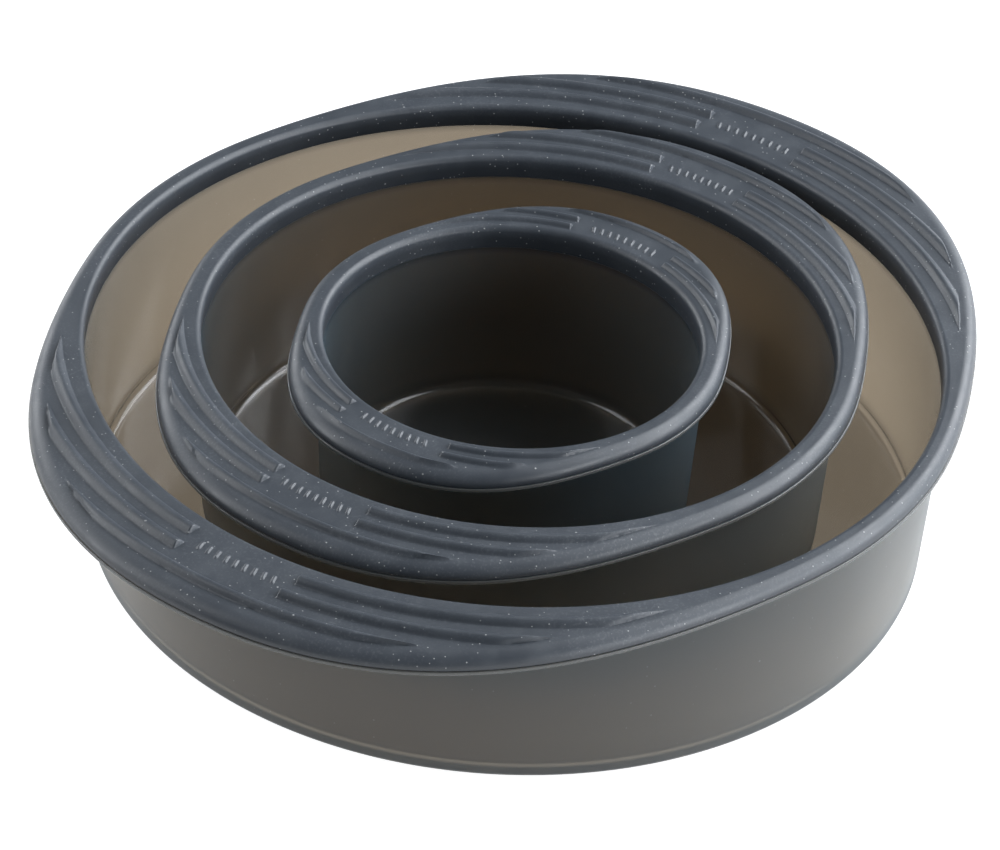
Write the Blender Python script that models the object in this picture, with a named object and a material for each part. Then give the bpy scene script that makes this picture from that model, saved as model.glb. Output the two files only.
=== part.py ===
"""A set of three round silicone cake moulds, nested one inside the next.

Each mould is a translucent shell with a thin flange, a soft rim moulded onto that flange, and a
steel stiffener ring that lies hidden in a groove under the rim. The rim widens into two opposite
wing grips, which point along +X and -X. The origin is the centre of the largest mould's underside.
"""

import collections
import math

import bmesh
import bpy

Mould = collections.namedtuple(
    "Mould", "name radius height narrow wing wing_angle shift lift"
)

WALL = 0.0018  # thickness of a shell's wall
FLOOR = 0.0016  # thickness of a shell's floor
GAP = 0.0003  # clearance between touching pieces
TAPER = 0.0020  # how much narrower a wall is at the floor than at the rim
CORNER = 0.0032  # radius of the bend between floor and wall, on the inside
OUTER_CORNER = 0.0018  # and on the outside
FLANGE = 0.0011  # thickness of the flange
RIM_THICKNESS = 0.0040  # the rim above the flange
RIM_ROUND = 0.0037  # radius of the rim's outer edge
SHOULDER = 0.0025  # radius of the rim's inner edge
SKIRT_DEPTH = 0.0070  # how far the rim's inner face reaches down from the top
SKIRT_WIDTH = 0.0009  # step in the wall that the rim's skirt fills
STRIP_WIDTH = 0.0022  # stiffener strip, across
STRIP_HEIGHT = 0.0009  # stiffener strip, upright
STRIP_INSET = 0.0017  # from the rim's inner face to the strip

SECTORS = 60  # sides of every round outline
BEND_STEPS = 3  # sides of every rounded corner

NEST_STEP = FLOOR + GAP  # each mould stands on the floor of the next larger one

# Radius at the rim's inner face, height, and reach of the rim beside and at the wings.
# The angle is from a wing's middle to where it has run out.
LARGE = Mould("large", 0.1190, 0.0588, 0.1259, 0.1487, math.radians(77), 0.0, 0.0)
MEDIUM = Mould("medium", 0.0883, 0.0571, 0.0959, 0.1135, math.radians(73), 0.0023, NEST_STEP)
SMALL = Mould("small", 0.0525, 0.0561, 0.0597, 0.0705, math.radians(73), -0.0013, 2 * NEST_STEP)

SHELL_COLOUR = (0.16, 0.13, 0.10, 1.0)
RIM_COLOUR = (0.075, 0.088, 0.105, 1.0)
STEEL_COLOUR = (0.55, 0.56, 0.58, 1.0)


def clear_scene():
    for obj in list(bpy.data.objects):
        bpy.data.objects.remove(obj, do_unlink=True)


def make_material(name, colour, roughness, metallic):
    material = bpy.data.materials.new(name)
    material.use_nodes = True
    surface = material.node_tree.nodes["Principled BSDF"]
    surface.inputs["Base Color"].default_value = colour
    surface.inputs["Roughness"].default_value = roughness
    surface.inputs["Metallic"].default_value = metallic
    return material


def reach(mould, angle):
    """Distance from the axis to the rim's outer edge: a circle that swells smoothly into two wings."""
    off_wing = abs(math.asin(math.sin(angle)))
    t = min(off_wing / mould.wing_angle, 1.0)
    fade = 1.0 - t**3 * (t * (6.0 * t - 15.0) + 10.0)
    return mould.narrow + (mould.wing - mould.narrow) * fade


def ring_points(mould, fixed, share, z):
    """One ring round the axis, at the radius fixed + share * reach."""
    points = []
    for sector in range(SECTORS):
        angle = 2.0 * math.pi * sector / SECTORS
        radius = fixed + share * reach(mould, angle)
        points.append((radius * math.cos(angle), radius * math.sin(angle), z))
    return points


def bend(centre_fixed, share, centre_z, radius, start, end):
    """Profile points of a rounded corner, from the start angle to the end angle in degrees."""
    points = []
    for step in range(BEND_STEPS + 1):
        angle = math.radians(start + (end - start) * step / BEND_STEPS)
        fixed = centre_fixed + radius * math.cos(angle)
        points.append((fixed, share, centre_z + radius * math.sin(angle)))
    return points


def loft(mould, profile, section_closed):
    """A mesh through the profile's rings: a closed section makes a ring, an open one is capped at both ends."""
    shape = bmesh.new()
    rings = []
    for fixed, share, z in profile:
        rings.append([shape.verts.new(p) for p in ring_points(mould, fixed, share, z)])
    pairs = list(zip(rings, rings[1:]))
    if section_closed:
        pairs.append((rings[-1], rings[0]))
    else:
        shape.faces.new(rings[0])
        shape.faces.new(rings[-1])
    for lower, upper in pairs:
        for sector in range(SECTORS):
            following = (sector + 1) % SECTORS
            shape.faces.new(
                (lower[sector], lower[following], upper[following], upper[sector])
            )
    bmesh.ops.recalc_face_normals(shape, faces=shape.faces)
    return shape


def add_piece(mould, part, shape, material, stand):
    mesh = bpy.data.meshes.new(f"{mould.name}_{part}")
    shape.to_mesh(mesh)
    shape.free()
    mesh.materials.append(material)
    mesh.shade_smooth()
    mesh.set_sharp_from_angle(angle=math.radians(40))
    piece = bpy.data.objects.new(f"{mould.name}_{part}", mesh)
    piece.parent = stand
    bpy.context.collection.objects.link(piece)
    return piece


def flange_top(mould):
    return mould.height - RIM_THICKNESS


def shell_profile(mould):
    """From the middle of the underside, up the outside, over the flange and down the inside."""
    radius = mould.radius
    under_flange = flange_top(mould) - FLANGE
    skirt_foot = mould.height - SKIRT_DEPTH
    step = radius + SKIRT_WIDTH
    foot_inside = radius - TAPER
    foot_outside = foot_inside + WALL
    profile = bend(foot_outside - OUTER_CORNER, 0.0, OUTER_CORNER, OUTER_CORNER, -90, 0)
    profile += [
        (radius + WALL, 0.0, under_flange),
        (0.0, 1.0, under_flange),
        (0.0, 1.0, flange_top(mould)),
        (step, 0.0, flange_top(mould)),
        (step, 0.0, skirt_foot),
        (radius, 0.0, skirt_foot),
    ]
    profile += bend(foot_inside - CORNER, 0.0, FLOOR + CORNER, CORNER, 0, -90)
    return profile


def groove_edges(mould):
    inner = mould.radius + STRIP_INSET - GAP
    outer = mould.radius + STRIP_INSET + STRIP_WIDTH + GAP
    return inner, outer


def rim_profile(mould):
    """The rim's closed section: inner face, top, outer edge, underside and the stiffener's groove."""
    radius = mould.radius
    top = mould.height
    underside = flange_top(mould) + GAP
    skirt_foot = mould.height - SKIRT_DEPTH + GAP
    skirt_outside = radius + SKIRT_WIDTH - GAP
    groove_inner, groove_outer = groove_edges(mould)
    groove_roof = underside + STRIP_HEIGHT + GAP
    profile = [(radius, 0.0, skirt_foot)]
    profile += bend(radius + SHOULDER, 0.0, top - SHOULDER, SHOULDER, 180, 90)
    profile += bend(-RIM_ROUND, 1.0, top - RIM_ROUND, RIM_ROUND, 90, 0)
    profile += [
        (groove_outer, 0.0, underside),
        (groove_outer, 0.0, groove_roof),
        (groove_inner, 0.0, groove_roof),
        (groove_inner, 0.0, underside),
        (skirt_outside, 0.0, underside),
        (skirt_outside, 0.0, skirt_foot),
    ]
    return profile


def stiffener_profile(mould):
    """A flat steel strip that rests on the flange, inside the rim's groove."""
    inner = mould.radius + STRIP_INSET
    outer = inner + STRIP_WIDTH
    foot = flange_top(mould) + GAP
    head = foot + STRIP_HEIGHT
    return [(inner, 0.0, foot), (inner, 0.0, head), (outer, 0.0, head), (outer, 0.0, foot)]


def build_mould(mould, materials):
    """One mould on its own stand: an empty at the middle of its underside, on its lifting axis."""
    stand = bpy.data.objects.new(f"{mould.name}_stand", None)
    stand.location = (mould.shift, 0.0, mould.lift)
    bpy.context.collection.objects.link(stand)
    shell = loft(mould, shell_profile(mould), section_closed=False)
    rim = loft(mould, rim_profile(mould), section_closed=True)
    strip = loft(mould, stiffener_profile(mould), section_closed=True)
    add_piece(mould, "shell", shell, materials["shell"], stand)
    add_piece(mould, "rim", rim, materials["rim"], stand)
    add_piece(mould, "stiffener", strip, materials["steel"], stand)


def main():
    clear_scene()
    materials = {
        "shell": make_material("shell_silicone", SHELL_COLOUR, 0.35, 0.0),
        "rim": make_material("rim_silicone", RIM_COLOUR, 0.5, 0.0),
        "steel": make_material("stiffener_steel", STEEL_COLOUR, 0.35, 1.0),
    }
    for mould in (LARGE, MEDIUM, SMALL):
        build_mould(mould, materials)
    bpy.context.view_layer.update()


main()
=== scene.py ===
"""The looks of three nested silicone cake moulds: a ribbed slate rim on a translucent smoky shell.

Lengths are in metres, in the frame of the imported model: the wing grips point along +X and -X.
"""

import collections
import math

import bpy
import numpy as np
from mathutils import Matrix, Vector


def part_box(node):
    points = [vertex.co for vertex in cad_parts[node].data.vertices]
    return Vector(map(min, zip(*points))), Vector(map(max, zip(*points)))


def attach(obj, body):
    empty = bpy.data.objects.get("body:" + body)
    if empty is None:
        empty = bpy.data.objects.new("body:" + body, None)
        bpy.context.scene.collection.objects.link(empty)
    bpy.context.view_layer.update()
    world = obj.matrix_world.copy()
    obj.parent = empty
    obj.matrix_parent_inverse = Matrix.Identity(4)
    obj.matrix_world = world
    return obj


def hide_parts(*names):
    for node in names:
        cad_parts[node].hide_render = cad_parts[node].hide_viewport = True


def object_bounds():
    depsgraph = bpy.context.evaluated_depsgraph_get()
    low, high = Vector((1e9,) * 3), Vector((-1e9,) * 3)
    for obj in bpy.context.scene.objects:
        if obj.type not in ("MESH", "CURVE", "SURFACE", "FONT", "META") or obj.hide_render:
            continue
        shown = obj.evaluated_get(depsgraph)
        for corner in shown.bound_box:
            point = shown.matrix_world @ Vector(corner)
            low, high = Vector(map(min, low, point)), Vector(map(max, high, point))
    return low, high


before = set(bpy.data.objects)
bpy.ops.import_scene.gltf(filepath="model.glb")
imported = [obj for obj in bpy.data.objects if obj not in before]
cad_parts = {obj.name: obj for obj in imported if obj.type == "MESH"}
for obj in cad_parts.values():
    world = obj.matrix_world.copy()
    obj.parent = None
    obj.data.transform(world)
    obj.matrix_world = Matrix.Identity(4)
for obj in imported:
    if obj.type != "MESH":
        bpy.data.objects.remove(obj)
CAD_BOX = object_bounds()

MM = 0.001

# ---------------------------------------------------------------------------------------------
# Fixed sizes of the model that its boxes don't give
# ---------------------------------------------------------------------------------------------
WALL = 1.8 * MM
FLOOR = 1.6 * MM
TAPER = 2.0 * MM  # how much narrower a wall is at the floor than at the rim
CORNER = 3.2 * MM  # inner radius of the bend between floor and wall
OUTER_CORNER = 1.8 * MM
FLANGE = 1.1 * MM
RIM_THICKNESS = 4.0 * MM
SKIRT_DEPTH = 7.0 * MM  # how far the slate inner face reaches down
SKIRT_WIDTH = 0.9 * MM
STRIP_WIDTH = 2.2 * MM
STRIP_HEIGHT = 0.9 * MM
STRIP_INSET = 1.7 * MM
CLEARANCE = 0.3 * MM  # round the stiffener strip
SEAM = 0.05 * MM  # between the rim and the shell that carries it
FILLET = 1.2 * MM  # where the outer wall meets the flange
FLANGE_ROUND = 0.28 * MM  # rounding of the flange's edge

# ---------------------------------------------------------------------------------------------
# Fine shape of the rims
# ---------------------------------------------------------------------------------------------
SHOULDER = 1.8 * MM  # radius of the rim's inner top edge
EDGE_DROP = 3.5 * MM  # how far the rounded border falls before the upright edge
EDGE_INSET = 0.3 * MM  # the slate edge stands this far inside the flange's
NARROW_BORDER = 3.2 * MM  # width of the rounded border beside the wings
WING_BORDER = 5.0 * MM  # and in the middle of a wing
CUT_WIDTH = 0.65 * MM  # rounding of the slanting cut that ends a rib at its tip
END_WIDTH = 0.5 * MM  # rounding of a rib's square end
TURN_UNDER = 0.25 * MM  # rounding between the rim's upright edge and its underside
TIP_OVERRUN = 1.15  # share of a rib's tip angle at which it is cut off for good

# One rib: radius of its inner foot at the wing's middle and at its tip, width, the angle of its
# tip, and the half angle of the gap in its middle (zero where it runs through).
Rib = collections.namedtuple("Rib", "middle tip width tip_angle gap_angle")

# What differs between the rims: the angle from a wing's middle to where it has run out, the ribs,
# their height, the distance from the outer edge to the slanting cut that ends each rib, and the
# row of small bars in the gap.
Detail = collections.namedtuple(
    "Detail", "wing_angle ribs height cut_offset bars bar_radius bar_pitch bar_size"
)
DETAILS = {
    "large": Detail(
        wing_angle=77.0,
        ribs=(
            Rib(123.4 * MM, 125.0 * MM, 4.3 * MM, 51.0, 7.6),
            Rib(130.6 * MM, 131.9 * MM, 4.0 * MM, 36.0, 6.9),
            Rib(138.1 * MM, 138.9 * MM, 3.6 * MM, 22.1, 0.0),
        ),
        height=1.6 * MM,
        cut_offset=5.4 * MM,
        bars=9,
        bar_radius=128.8 * MM,
        bar_pitch=2.9 * MM,
        bar_size=(0.95 * MM, 3.3 * MM),
    ),
    "medium": Detail(
        wing_angle=73.0,
        ribs=(
            Rib(91.6 * MM, 93.0 * MM, 3.9 * MM, 53.0, 8.9),
            Rib(97.8 * MM, 98.9 * MM, 3.6 * MM, 37.0, 8.6),
            Rib(104.5 * MM, 105.3 * MM, 3.1 * MM, 23.0, 0.0),
        ),
        height=1.4 * MM,
        cut_offset=4.2 * MM,
        bars=9,
        bar_radius=96.6 * MM,
        bar_pitch=2.55 * MM,
        bar_size=(0.85 * MM, 3.0 * MM),
    ),
    "small": Detail(
        wing_angle=73.0,
        ribs=(
            Rib(55.0 * MM, 56.0 * MM, 2.6 * MM, 50.0, 16.2),
            Rib(59.3 * MM, 60.3 * MM, 2.5 * MM, 32.5, 15.3),
            Rib(64.0 * MM, 64.4 * MM, 2.2 * MM, 18.3, 0.0),
        ),
        height=1.05 * MM,
        cut_offset=4.0 * MM,
        bars=9,
        bar_radius=57.9 * MM,
        bar_pitch=2.5 * MM,
        bar_size=(0.8 * MM, 3.0 * MM),
    ),
}
BAR_HEIGHT = 0.4 * MM
BAR_SLANT = 0.25

# Rows of the mesh across the rim, and the angular steps in degrees: fine in the gap, wider
# along the ribs, widest beside the wings.
SHOULDER_ROWS = 9
BORDER_ROWS = 14
GRIDS = {
    "large": (58, 0.10, 0.33, 0.75),
    "medium": (50, 0.12, 0.42, 0.90),
    "small": (40, 0.20, 0.55, 1.20),
}
SHELL_SECTORS = 360

Mould = collections.namedtuple(
    "Mould", "name radius narrow wing shift base top detail grid"
)


def read_mould(name):
    """The driving sizes of one mould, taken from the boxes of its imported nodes."""
    rim_low, rim_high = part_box(f"{name}_rim")
    strip_low, strip_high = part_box(f"{name}_stiffener")
    shell_low, shell_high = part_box(f"{name}_shell")
    return Mould(
        name=name,
        radius=(strip_high.y - strip_low.y) / 2 - STRIP_INSET - STRIP_WIDTH,
        narrow=(rim_high.y - rim_low.y) / 2,
        wing=(rim_high.x - rim_low.x) / 2,
        shift=(rim_high.x + rim_low.x) / 2,
        base=shell_low.z,
        top=rim_high.z,
        detail=DETAILS[name],
        grid=GRIDS[name],
    )


def smooth_fade(t):
    """From 1 at t = 0 to 0 at t = 1, with no kink at either end."""
    t = np.clip(t, 0.0, 1.0)
    return 1.0 - t**3 * (t * (6.0 * t - 15.0) + 10.0)


def off_wing(angle):
    """The angle from the middle of the nearer wing."""
    return np.abs(np.arcsin(np.clip(np.sin(angle), -1.0, 1.0)))


def reach(mould, angle):
    """Distance from the axis to the flange's outer edge: a circle that swells into two wings."""
    swell = smooth_fade(off_wing(angle) / math.radians(mould.detail.wing_angle))
    return mould.narrow + (mould.wing - mould.narrow) * swell


# ---------------------------------------------------------------------------------------------
# Mesh helpers
# ---------------------------------------------------------------------------------------------
def ring_mesh(name, points, closed_section, caps=()):
    """A mesh from an array of points [sector, row, xyz] that goes all the way round.

    closed_section joins the last row to the first. caps are rows whose ring is filled with a fan.
    """
    sectors, rows = points.shape[:2]
    index = np.arange(sectors * rows).reshape(sectors, rows)
    following = np.roll(index, -1, axis=0)
    if closed_section:
        beside, beside_following = np.roll(index, -1, axis=1), np.roll(following, -1, axis=1)
    else:
        beside, beside_following = index[:, 1:], following[:, 1:]
        index, following = index[:, :-1], following[:, :-1]
    quads = np.stack([index, following, beside_following, beside], axis=-1).reshape(-1, 4)
    vertices = points.reshape(-1, 3).tolist()
    faces = quads.tolist()
    for row, flipped in caps:
        ring = np.arange(sectors) * rows + row
        centre = len(vertices)
        vertices.append(points[:, row].mean(axis=0).tolist())
        for here, there in zip(ring.tolist(), np.roll(ring, -1).tolist()):
            faces.append([there, here, centre] if flipped else [here, there, centre])
    mesh = bpy.data.meshes.new(name)
    mesh.from_pydata(vertices, [], faces)
    mesh.update()
    mesh.shade_smooth()
    return mesh


def add_piece(name, mesh, body, replaced):
    piece = bpy.data.objects.new(name, mesh)
    bpy.context.scene.collection.objects.link(piece)
    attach(piece, body)
    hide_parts(replaced)
    return piece


def arc(start, end, steps):
    """Angles in radians from start to end degrees, ends included."""
    return np.radians(np.linspace(start, end, steps + 1))


# ---------------------------------------------------------------------------------------------
# Rims
# ---------------------------------------------------------------------------------------------
def sector_angles(mould):
    """Angles round the rim, closer together where the ribs and the bars need it."""
    _, gap_step, rib_step, plain_step = mould.grid
    gap = max(rib.gap_angle for rib in mould.detail.ribs) + 1.5
    tip = max(rib.tip_angle for rib in mould.detail.ribs) + 2.0
    quarter = np.concatenate([
        np.arange(0.0, gap, gap_step),
        np.arange(gap, tip, rib_step),
        np.linspace(tip, 90.0, round((90.0 - tip) / plain_step), endpoint=False),
    ])
    half = np.concatenate([quarter, [90.0], 180.0 - quarter[:0:-1]])
    return np.radians(np.concatenate([half, half + 180.0]))


def rounded_step(distance, width):
    """Rises from 0 at distance 0 to 1 at width, steep at the foot and round at the top."""
    t = np.clip(distance / width, 0.0, 1.0)
    return np.sqrt(1.0 - (1.0 - t) ** 2)


def rib_height(mould, angle, radius):
    """Height of the ribs above the land, as a share of the full rib height."""
    turn = off_wing(angle)
    cut = rounded_step(reach(mould, angle) - mould.detail.cut_offset - radius, CUT_WIDTH)
    total = np.zeros_like(radius)
    for rib in mould.detail.ribs:
        share = turn / math.radians(rib.tip_angle)
        foot = rib.middle + (rib.tip - rib.middle) * share**2
        across = np.clip(2.0 * (radius - foot) / rib.width - 1.0, -1.0, 1.0)
        ridge = 1.0 - across**2
        if rib.gap_angle:
            ridge = ridge * rounded_step((turn - math.radians(rib.gap_angle)) * radius, END_WIDTH)
        total = np.maximum(total, ridge * cut * (share < TIP_OVERRUN))
    return total


def bar_height(mould, angle, radius):
    """Height of the row of small slanting bars in the gap, as a share of a bar's full height."""
    detail = mould.detail
    width, length = detail.bar_size
    turn = np.arcsin(np.clip(np.sin(angle), -1.0, 1.0)) * np.sign(np.cos(angle))
    outward = radius - detail.bar_radius
    total = np.zeros_like(radius)
    for number in range(detail.bars):
        centre = (number - (detail.bars - 1) / 2) * detail.bar_pitch
        along = turn * detail.bar_radius - centre - BAR_SLANT * outward
        side = np.clip(1.0 - np.abs(2.0 * along / width) ** 2.5, 0.0, 1.0)
        end = np.clip(1.0 - np.abs(2.0 * outward / length) ** 6, 0.0, 1.0)
        total = np.maximum(total, (side * end) ** 0.6)
    return total


def rim_points(mould):
    """Points [sector, row, xyz] of the rim's closed section, in the mould's own frame."""
    angle = sector_angles(mould)[:, None]
    edge = reach(mould, angle) - EDGE_INSET
    wing_share = (edge + EDGE_INSET - mould.narrow) / (mould.wing - mould.narrow)
    border = NARROW_BORDER + (WING_BORDER - NARROW_BORDER) * wing_share
    top_rows = mould.grid[0]
    radius, top = mould.radius, mould.top
    flange_top = top - RIM_THICKNESS
    skirt_foot = top - SKIRT_DEPTH

    columns = []

    def column(r, z):
        columns.append((r + np.zeros_like(edge), z + np.zeros_like(edge)))

    # Inner face, then the round shoulder.
    for step in np.linspace(0.0, 1.0, 4, endpoint=False):
        column(radius, skirt_foot + SEAM + step * (top - SHOULDER - skirt_foot - SEAM))
    for bend in arc(180, 90, SHOULDER_ROWS):
        column(radius + SHOULDER * (1 + math.cos(bend)), top - SHOULDER * (1 - math.sin(bend)))
    # The land, across to where the border begins to fall, and the rounded border.
    land_start, land_end = radius + SHOULDER, edge - border
    for step in np.linspace(0.0, 1.0, top_rows + 1)[1:-1]:
        column(land_start + step * (land_end - land_start), top)
    for bend in arc(90, 0, BORDER_ROWS):
        column(edge - border * (1 - math.cos(bend)), top - EDGE_DROP * (1 - math.sin(bend)))
    shown_rows = len(columns)
    # The upright edge turns under with a small round, then the underside with its groove.
    for bend in arc(0, -90, 3):
        column(
            edge - TURN_UNDER * (1 - math.cos(bend)),
            flange_top + SEAM + TURN_UNDER * (1 + math.sin(bend)),
        )
    groove_outer = radius + STRIP_INSET + STRIP_WIDTH + CLEARANCE
    groove_inner = radius + STRIP_INSET - CLEARANCE
    groove_roof = flange_top + STRIP_HEIGHT + 2 * CLEARANCE
    skirt_outside = radius + SKIRT_WIDTH - SEAM
    column(groove_outer + 0.6 * (edge - TURN_UNDER - groove_outer), flange_top + SEAM)
    column(groove_outer, flange_top + SEAM)
    column(groove_outer, groove_roof)
    column(groove_inner, groove_roof)
    column(groove_inner, flange_top + SEAM)
    column(skirt_outside, flange_top + SEAM)
    column(skirt_outside, skirt_foot + SEAM)

    r = np.concatenate([c[0] for c in columns], axis=1)
    z = np.concatenate([c[1] for c in columns], axis=1)
    shown = np.arange(r.shape[1]) < shown_rows
    relief = mould.detail.height * rib_height(mould, angle, r)
    relief += BAR_HEIGHT * bar_height(mould, angle, r)
    z = z + np.where(shown[None, :], relief, 0.0)
    x = r * np.cos(angle) + mould.shift
    y = r * np.sin(angle)
    return np.stack([x, y, z], axis=-1)


def build_rim(mould, material):
    points = rim_points(mould)
    mesh = ring_mesh(f"{mould.name}_rim_fine", points, closed_section=True)
    mesh.materials.append(material)
    mesh.set_sharp_from_angle(angle=math.radians(55))
    return add_piece(f"{mould.name}_rim_fine", mesh, mould.name, f"{mould.name}_rim")


# ---------------------------------------------------------------------------------------------
# Shells
# ---------------------------------------------------------------------------------------------
OUTSIDE, INSIDE, EDGE = 0, 1, 2  # a shell's faces, in the order of its materials


def shell_profile(mould):
    """(fixed, share, z, face) rows: the radius is fixed + share * reach. From the middle of the
    underside, up the outside, round the flange's edge and down the inside to the floor's middle."""
    radius, base, top = mould.radius, mould.base, mould.top
    flange_top = top - RIM_THICKNESS
    under_flange = flange_top - FLANGE
    skirt_foot = top - SKIRT_DEPTH
    foot_inside = radius - TAPER
    foot_outside = foot_inside + WALL
    rows = []

    def row(fixed, share, z, face=OUTSIDE):
        rows.append((fixed, share, z, face))

    # Underside and outer corner.
    for share in (0.08, 0.3, 0.6, 0.9):
        row(share * (foot_outside - OUTER_CORNER), 0.0, base)
    for bend in arc(-90, 0, 10):
        row(
            foot_outside - OUTER_CORNER * (1 - math.cos(bend)),
            0.0,
            base + OUTER_CORNER * (1 + math.sin(bend)),
        )
    # Outer wall, up to a small fillet under the flange.
    wall_foot, wall_head = base + OUTER_CORNER, under_flange - FILLET
    for step in np.linspace(0.0, 1.0, 9)[1:]:
        row(
            foot_outside + step * (radius + WALL - foot_outside),
            0.0,
            wall_foot + step * (wall_head - wall_foot),
        )
    for bend in arc(180, 90, 4)[1:]:
        row(
            radius + WALL + FILLET * (1 + math.cos(bend)),
            0.0,
            under_flange - FILLET * (1 - math.sin(bend)),
        )
    # Underside of the flange, its narrow edge, and its top, which the rim covers.
    row((radius + WALL + FILLET) * 0.4, 0.6, under_flange)
    for bend in arc(-90, 0, 5):
        inset, rise = FLANGE_ROUND * (1 - math.cos(bend)), FLANGE_ROUND * (1 + math.sin(bend))
        row(-inset, 1.0, under_flange + rise, EDGE)
    for bend in arc(0, 90, 5):
        inset, drop = FLANGE_ROUND * (1 - math.cos(bend)), FLANGE_ROUND * (1 - math.sin(bend))
        row(-inset, 1.0, flange_top - drop, EDGE)
    row((radius + SKIRT_WIDTH) * 0.4, 0.6, flange_top)
    row(radius + SKIRT_WIDTH, 0.0, flange_top)
    row(radius + SKIRT_WIDTH, 0.0, skirt_foot)
    row(radius, 0.0, skirt_foot, INSIDE)
    # Inner wall, inner corner and floor.
    corner_top = base + FLOOR + CORNER
    for step in np.linspace(0.0, 1.0, 9)[1:]:
        row(
            radius + step * (foot_inside - radius),
            0.0,
            skirt_foot + step * (corner_top - skirt_foot),
            INSIDE,
        )
    for bend in arc(0, -90, 14)[1:]:
        row(
            foot_inside - CORNER + CORNER * math.cos(bend),
            0.0,
            base + FLOOR + CORNER * (1 + math.sin(bend)),
            INSIDE,
        )
    for share in (0.9, 0.6, 0.3, 0.08):
        row(share * (foot_inside - CORNER), 0.0, base + FLOOR, INSIDE)
    return rows


def build_shell(mould, materials):
    angle = np.linspace(0.0, 2 * math.pi, SHELL_SECTORS, endpoint=False)[:, None]
    rows = shell_profile(mould)
    fixed, share, z, face = (np.array(values)[None, :] for values in zip(*rows))
    r = fixed + share * reach(mould, angle)
    x = r * np.cos(angle) + mould.shift
    y = r * np.sin(angle)
    points = np.stack([x, y, z + np.zeros_like(r)], axis=-1)
    last = len(rows) - 1
    mesh = ring_mesh(
        f"{mould.name}_shell_fine", points, closed_section=False, caps=((0, True), (last, False))
    )
    for material in materials:
        mesh.materials.append(material)
    # A quad takes its rows' face where both agree. The two fans are the floor's underside and top.
    quad_face = np.where(face[0, :-1] == face[0, 1:], face[0, 1:], OUTSIDE)
    all_faces = np.concatenate([
        np.tile(quad_face, SHELL_SECTORS),
        np.full(SHELL_SECTORS, OUTSIDE),
        np.full(SHELL_SECTORS, INSIDE),
    ])
    mesh.polygons.foreach_set("material_index", all_faces.astype(np.int32))
    mesh.set_sharp_from_angle(angle=math.radians(50))
    return add_piece(
        f"{mould.name}_shell_fine", mesh, mould.name, f"{mould.name}_shell"
    )


# ---------------------------------------------------------------------------------------------
# Materials
# ---------------------------------------------------------------------------------------------
class Nodes:
    """A small helper that adds and links shader nodes."""

    def __init__(self, name):
        self.material = bpy.data.materials.new(name)
        self.material.use_nodes = True
        self.tree = self.material.node_tree
        self.surface = self.tree.nodes["Principled BSDF"]

    def add(self, kind, inputs=None, **settings):
        node = self.tree.nodes.new(kind)
        for key, value in settings.items():
            setattr(node, key, value)
        for key, value in (inputs or {}).items():
            if isinstance(value, bpy.types.NodeSocket):
                self.tree.links.new(value, node.inputs[key])
            else:
                node.inputs[key].default_value = value
        return node

    def link(self, output, node, key):
        self.tree.links.new(output, node.inputs[key])

    def place(self):
        """The point on the object, in its own frame."""
        return self.add("ShaderNodeTexCoord").outputs["Object"]

    def noise(self, place, scale, detail=2.0, roughness=0.5):
        inputs = {"Vector": place, "Scale": scale, "Detail": detail, "Roughness": roughness}
        return self.add("ShaderNodeTexNoise", inputs).outputs["Fac"]

    def remap(self, value, low, high, to_low=0.0, to_high=1.0):
        inputs = {
            "Value": value, "From Min": low, "From Max": high, "To Min": to_low, "To Max": to_high
        }
        return self.add("ShaderNodeMapRange", inputs, clamp=True).outputs["Result"]

    def blend(self, share, first, second):
        """A colour that goes from first to second as share goes from 0 to 1."""
        node = self.add("ShaderNodeMix", data_type="RGBA")
        for index, value in ((0, share), (6, first), (7, second)):
            if isinstance(value, bpy.types.NodeSocket):
                self.tree.links.new(value, node.inputs[index])
            else:
                node.inputs[index].default_value = value
        return node.outputs[2]

    def math(self, operation, first, second=0.0):
        node = self.add("ShaderNodeMath", operation=operation)
        for index, value in enumerate((first, second)):
            if isinstance(value, bpy.types.NodeSocket):
                self.tree.links.new(value, node.inputs[index])
            else:
                node.inputs[index].default_value = value
        return node.outputs["Value"]

    def specks(self, place, scale, size, share):
        """Sparse round specks: 1 on a speck and 0 off it. share is how many cells hold one."""
        cells = self.add(
            "ShaderNodeTexVoronoi", {"Vector": place, "Scale": scale, "Randomness": 1.0}
        )
        dot = self.remap(cells.outputs["Distance"], size * 0.6, size, 1.0, 0.0)
        pick = self.add("ShaderNodeSeparateColor", {"Color": cells.outputs["Color"]}).outputs["Red"]
        chosen = self.math("LESS_THAN", pick, share)
        return self.math("MULTIPLY", dot, chosen)

    def bump(self, height, strength, distance, normal=None):
        inputs = {"Height": height, "Strength": strength, "Distance": distance}
        if normal is not None:
            inputs["Normal"] = normal
        return self.add("ShaderNodeBump", inputs).outputs["Normal"]


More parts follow.
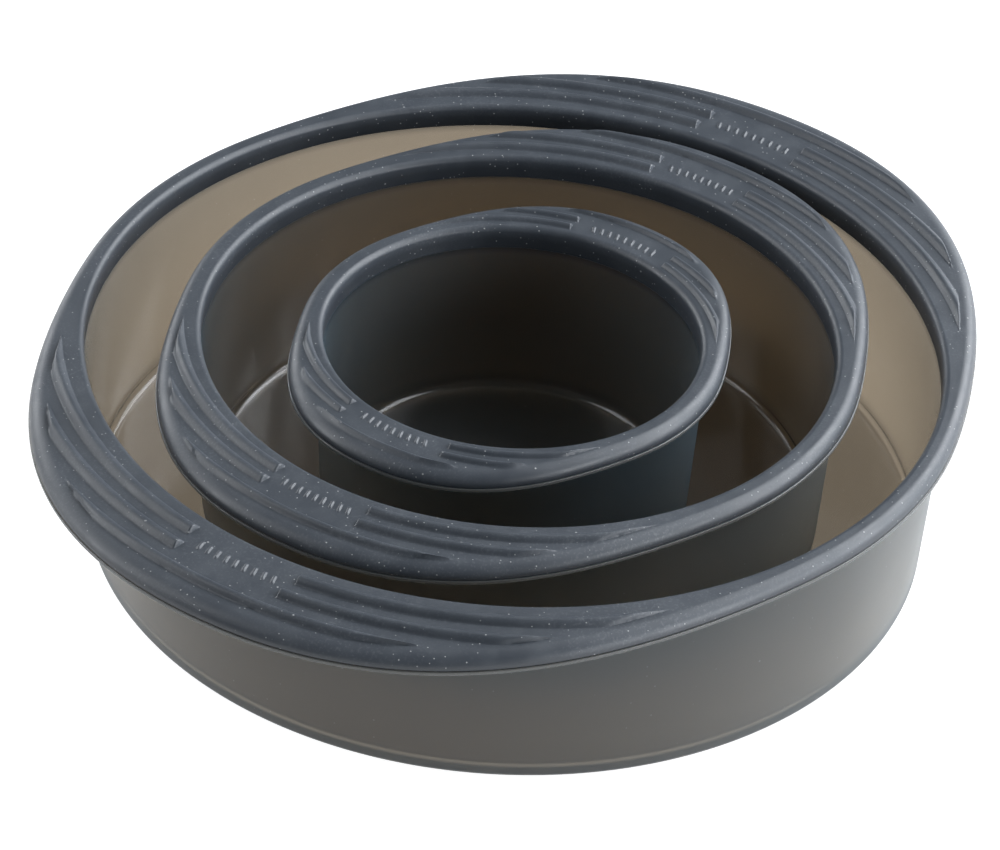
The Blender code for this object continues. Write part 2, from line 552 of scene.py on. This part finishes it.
def rim_material(name, top):
    """Satin slate silicone: fine moulded grain, cloudy handling marks, and a little pale dust. Its
    upright faces below the top are darkened with painted shade."""
    n = Nodes(f"rim_silicone_slate_{name}")
    place = n.place()
    cloud = n.remap(n.noise(place, 22.0, 3.0), 0.35, 0.68)
    mottle = n.remap(n.noise(place, 160.0, 3.0), 0.38, 0.66)
    colour = n.blend(cloud, (0.032, 0.038, 0.047, 1), (0.039, 0.046, 0.057, 1))
    colour = n.blend(n.math("MULTIPLY", mottle, 0.25), colour, (0.050, 0.059, 0.070, 1))
    powder = n.math("MULTIPLY", n.remap(n.noise(place, 1400.0, 2.0), 0.52, 0.72), cloud)
    colour = n.blend(n.math("MULTIPLY", powder, 0.35), colour, (0.13, 0.14, 0.15, 1))
    height = n.add("ShaderNodeSeparateXYZ", {"Vector": place}).outputs["Z"]
    # Painted shade: from 1.6 mm to 4 mm below the rim's top, the colour is blended towards
    # near-black.
    low = n.remap(height, top - 1.6 * MM, top - 4.0 * MM, 0.0, 0.55)
    colour = n.blend(low, colour, (0.008, 0.010, 0.013, 1))
    dust = n.math(
        "MAXIMUM", n.specks(place, 260.0, 0.08, 0.26), n.specks(place, 560.0, 0.13, 0.6)
    )
    colour = n.blend(n.math("MULTIPLY", dust, 0.7), colour, (0.33, 0.34, 0.34, 1))
    n.link(colour, n.surface, "Base Color")
    grey = n.remap(mottle, 0.0, 1.0, 0.40, 0.48)
    n.link(n.math("ADD", grey, n.math("MULTIPLY", cloud, 0.05)), n.surface, "Roughness")
    grain = n.noise(place, 2600.0, 2.0)
    swell = n.noise(place, 300.0, 2.0)
    normal = n.bump(grain, 0.35, 0.00005)
    normal = n.bump(swell, 0.25, 0.00012, normal)
    normal = n.bump(dust, 0.5, 0.0001, normal)
    n.link(normal, n.surface, "Normal")
    n.surface.inputs["IOR"].default_value = 1.5
    return n.material


def shell_material(name, roughness, grain_strength, transmission, haze, painted_shades=()):
    """Translucent smoky silicone that passes a warm quarter of the light through each wall, with a
    thin bluish haze over it. Each painted shade is a pair of heights, from which and to which the
    colour darkens softly as painted shade, and how far it darkens."""
    n = Nodes(name)
    place = n.place()
    cloud = n.remap(n.noise(place, 14.0, 3.0), 0.3, 0.7)
    colour = n.blend(cloud, (0.256, 0.208, 0.150, 1), (0.274, 0.224, 0.163, 1))
    dust = n.math(
        "MAXIMUM", n.specks(place, 170.0, 0.06, 0.10), n.specks(place, 420.0, 0.11, 0.12)
    )
    colour = n.blend(n.math("MULTIPLY", dust, 0.6), colour, (0.7, 0.68, 0.64, 1))
    height = n.add("ShaderNodeSeparateXYZ", {"Vector": place}).outputs["Z"]
    # Painted shade: between each pair of heights, the colour is blended towards near-black.
    for start, end, share in painted_shades:
        colour = n.blend(n.remap(height, start, end, 0.0, share), colour, (0.03, 0.029, 0.028, 1))
    n.link(colour, n.surface, "Base Color")
    smear = n.remap(n.noise(place, 45.0, 4.0), 0.3, 0.7, roughness * 0.92, roughness * 1.08)
    n.link(smear, n.surface, "Roughness")
    n.surface.inputs["Transmission Weight"].default_value = transmission
    n.surface.inputs["IOR"].default_value = 1.41
    n.surface.inputs["Sheen Weight"].default_value = haze
    n.surface.inputs["Sheen Roughness"].default_value = 1.0
    n.surface.inputs["Sheen Tint"].default_value = (0.35, 0.7, 1.0, 1)
    grain = n.noise(place, 1500.0, 2.0)
    n.link(n.bump(grain, grain_strength, 0.00004), n.surface, "Normal")
    return n.material


def steel_material():
    """The hidden stiffener: spring steel, brushed along the strip."""
    n = Nodes("stiffener_brushed_steel")
    place = n.place()
    stretched = n.add("ShaderNodeMapping", {"Vector": place, "Scale": (1.0, 1.0, 90.0)}).outputs[0]
    brushing = n.noise(stretched, 180.0, 4.0, 0.6)
    streaks = n.remap(brushing, 0.3, 0.7)
    colour = n.blend(streaks, (0.46, 0.47, 0.49, 1), (0.60, 0.61, 0.63, 1))
    n.link(colour, n.surface, "Base Color")
    n.surface.inputs["Metallic"].default_value = 1.0
    n.link(n.remap(brushing, 0.3, 0.7, 0.26, 0.42), n.surface, "Roughness")
    n.link(n.bump(brushing, 0.2, 0.00003), n.surface, "Normal")
    return n.material


# ---------------------------------------------------------------------------------------------
# Camera, floor and light
# ---------------------------------------------------------------------------------------------
VIEW_TURN = math.radians(-58.2)  # 0 looks along +Y
VIEW_HEIGHT = math.radians(36.41)
VIEW_ROLL = math.radians(3.44)
VIEW_DISTANCE = 1.1124
VIEW_TARGET = Vector((0.0, 0.0, 0.024))
AIM_LEFT, AIM_UP = 2.54 * MM, 2.51 * MM
LENS = 141.7

SOFTBOX_SPREAD = 0.46  # a softbox's side, as a share of its distance
LIGHT_COLOUR = (0.97, 1.0, 1.04)
FLOOR_SIDE = 6.0
FLOOR_DROP = 0.1 * MM  # the floor lies this far below the moulds, so the two faces don't meet
# Each softbox: its turn and height in degrees, as the camera's side sees them, its distance from
# the moulds and its watts.
LIGHTS = (
    ("right", 0, 18, 1.3, 11.0),
    ("right_high", 0, 45, 1.3, 7.0),
    ("back_right_high", 45, 45, 1.3, 10.5),
    ("back_right_middle", 22, 35, 1.3, 4.0),
    ("back_right_low", 45, 18, 1.3, 7.0),
    ("back_left_near", 128, 35, 0.7, 0.45),
    ("back_left", 135, 18, 1.3, 6.0),
    ("left", 180, 18, 1.3, 7.0),
    ("left_high", 180, 45, 1.3, 4.0),
    ("front_right", 325, 8, 1.3, 13.0),
)

RIGHT = Vector((math.cos(VIEW_TURN), math.sin(VIEW_TURN), 0.0))
AWAY = Vector((-math.sin(VIEW_TURN), math.cos(VIEW_TURN), 0.0))
UP = Vector((0.0, 0.0, 1.0))


def seen_from_camera(turn, height):
    """A direction given as the camera's side sees it: turn 0 is its right, a quarter turn is away."""
    level = RIGHT * math.cos(turn) + AWAY * math.sin(turn)
    return level * math.cos(height) + UP * math.sin(height)


def add_camera():
    back = -AWAY * math.cos(VIEW_HEIGHT) + UP * math.sin(VIEW_HEIGHT)
    upward = AWAY * math.sin(VIEW_HEIGHT) + UP * math.cos(VIEW_HEIGHT)
    rolled_right = RIGHT * math.cos(VIEW_ROLL) + upward * math.sin(VIEW_ROLL)
    rolled_up = -RIGHT * math.sin(VIEW_ROLL) + upward * math.cos(VIEW_ROLL)
    data = bpy.data.cameras.new("camera")
    data.lens = LENS
    data.sensor_width = 36.0
    camera = bpy.data.objects.new("camera", data)
    place = VIEW_TARGET + back * VIEW_DISTANCE - rolled_right * AIM_LEFT + rolled_up * AIM_UP
    axes = Matrix((rolled_right, rolled_up, back)).transposed()
    camera.matrix_world = Matrix.Translation(place) @ axes.to_4x4()
    bpy.context.scene.collection.objects.link(camera)
    bpy.context.scene.camera = camera


def add_softbox(name, direction, distance, power):
    """A square soft light that faces the moulds."""
    data = bpy.data.lights.new(name, "AREA")
    data.shape = "SQUARE"
    data.size = SOFTBOX_SPREAD * distance
    data.energy = power
    data.color = LIGHT_COLOUR
    light = bpy.data.objects.new(name, data)
    light.location = VIEW_TARGET + direction * distance
    light.rotation_mode = "QUATERNION"
    light.rotation_quaternion = direction.to_track_quat("Z", "Y")
    bpy.context.scene.collection.objects.link(light)


def add_floor():
    """A plain pale surface, lit from above and a little from within, like a light table."""
    half = FLOOR_SIDE / 2
    mesh = bpy.data.meshes.new("floor")
    corners = [(-half, -half, 0), (half, -half, 0), (half, half, 0), (-half, half, 0)]
    mesh.from_pydata(corners, [], [(0, 1, 2, 3)])
    floor = bpy.data.objects.new("floor", mesh)
    floor.location.z = CAD_BOX[0].z - FLOOR_DROP
    bpy.context.scene.collection.objects.link(floor)
    material = bpy.data.materials.new("floor_pale")
    material.use_nodes = True
    surface = material.node_tree.nodes["Principled BSDF"]
    surface.inputs["Base Color"].default_value = (0.42, 0.42, 0.42, 1)
    surface.inputs["Roughness"].default_value = 0.9
    surface.inputs["Specular IOR Level"].default_value = 0.0
    surface.inputs["Emission Color"].default_value = (1, 1, 1, 1)
    surface.inputs["Emission Strength"].default_value = 0.9
    mesh.materials.append(material)


def add_lights():
    for name, turn, height, distance, power in LIGHTS:
        direction = seen_from_camera(math.radians(turn), math.radians(height))
        add_softbox(name, direction, distance, power)
    world = bpy.data.worlds.new("studio")
    world.use_nodes = True
    background = world.node_tree.nodes["Background"]
    background.inputs["Color"].default_value = (0.88, 0.97, 1.0, 1)
    background.inputs["Strength"].default_value = 0.09
    bpy.context.scene.world = world
    bpy.context.scene.view_settings.view_transform = "Standard"


# ---------------------------------------------------------------------------------------------
# Everything together
# ---------------------------------------------------------------------------------------------
HAZE = {"large": 0.05, "medium": 0.08, "small": 0.08}  # on the outside of each shell


def shell_materials(mould, edge):
    """A shell's outside, inside and edge. The outside is darkened with painted shade up towards the
    rim and down at the foot, and the inside is darkened with painted shade just below the rim."""
    foot, under_rim = mould.base, mould.top - SKIRT_DEPTH
    # Painted shade: on the outer wall under the flange and at the foot, and on the inner wall under
    # the rim.
    outer_painted_shades = ((foot + 14 * MM, under_rim, 0.5), (foot + 6.5 * MM, foot + 3.4 * MM, 0.5))
    inner_painted_shades = ((under_rim - 2.2 * MM, under_rim, 0.75),)
    satin = shell_material(
        f"shell_silicone_satin_{mould.name}", 0.38, 0.25, 0.95, HAZE[mould.name], outer_painted_shades
    )
    gloss = shell_material(
        f"shell_silicone_gloss_{mould.name}", 0.13, 0.05, 0.95, 0.045, inner_painted_shades
    )
    return satin, gloss, edge


def main():
    # The edge's one painted shade is complete at the table's height, so all of the edge gets its full
    # share: the whole edge is darkened as painted shade.
    edge = shell_material("shell_silicone_edge", 0.2, 0.05, 0.5, 0.08, ((-1.0, 0.0, 0.6),))
    steel = steel_material()
    for name in ("large", "medium", "small"):
        mould = read_mould(name)
        build_rim(mould, rim_material(name, mould.top))
        build_shell(mould, shell_materials(mould, edge))
        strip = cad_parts[f"{name}_stiffener"]
        strip.data.materials.clear()
        strip.data.materials.append(steel)
    add_floor()
    add_camera()
    add_lights()


main()
